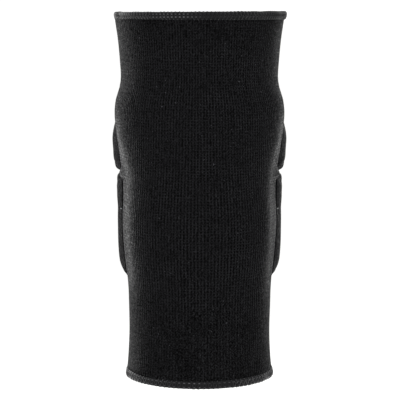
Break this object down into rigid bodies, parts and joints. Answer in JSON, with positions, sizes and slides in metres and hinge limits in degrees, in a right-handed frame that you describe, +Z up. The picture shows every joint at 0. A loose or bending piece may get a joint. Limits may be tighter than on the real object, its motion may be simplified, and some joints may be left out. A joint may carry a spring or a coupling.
{
  "type": "volleyball knee pad",
  "caption": "Knitted knee sleeve in the shape of a leg, open at both ends, with overlocked hems and foam pads over the front of the knee.",
  "frame": {"origin": "on the leg's axis at the bend of the knee, beside the notch between the two pads", "axes": "+Z up the leg towards the thigh, +Y forward through the pads, +X to the wearer's right"},
  "size_m": [0.1232, 0.1359, 0.2534],
  "materials": {
    "knit": "black polyester and elastane rib knit, matt with a soft pale fuzz at its edges",
    "overlock_thread": "dark grey textured polyester overlock thread",
    "pad_cover": "black close knit drawn over foam, matt"
  },
  "bodies": {
    "root": {"knit_sleeve": "knit", "top_hem": "overlock_thread", "bottom_hem": "overlock_thread", "upper_pad": "pad_cover", "lower_pad": "pad_cover"}
  },
  "joints": []
}
